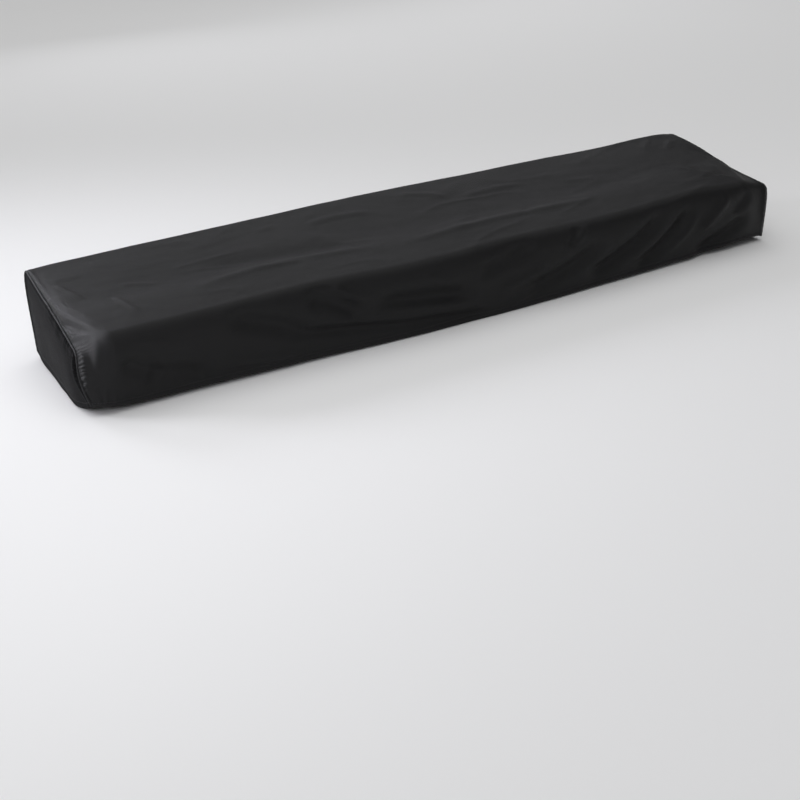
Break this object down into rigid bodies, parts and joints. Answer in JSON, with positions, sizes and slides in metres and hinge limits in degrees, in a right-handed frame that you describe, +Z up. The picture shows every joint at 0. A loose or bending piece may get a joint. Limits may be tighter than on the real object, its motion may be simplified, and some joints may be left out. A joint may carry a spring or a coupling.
{
  "type": "piano keyboard cover",
  "caption": "Fitted dust cover for a piano keyboard, a hollow black cloth hood with piped end seams that drapes over the instrument and hangs free past its ends.",
  "frame": {"origin": "underside of the top, at mid-length and mid-depth, where the instrument bears", "axes": "+X along the cover towards its right end as the player sees it, +Y from the front towards the back, +Z up"},
  "size_m": [1.3271, 0.304, 0.1625],
  "materials": {
    "cover_cloth": "black coated polyester, fine plain weave with a soft sheen",
    "end_cloth": "the same black coated polyester",
    "piping_cloth": "bias strip of the same cloth over a round cord"
  },
  "bodies": {
    "root": {"long_panel": "cover_cloth", "end_panel_left": "end_cloth", "end_panel_right": "end_cloth", "piping_left": "piping_cloth", "piping_right": "piping_cloth"}
  },
  "joints": []
}
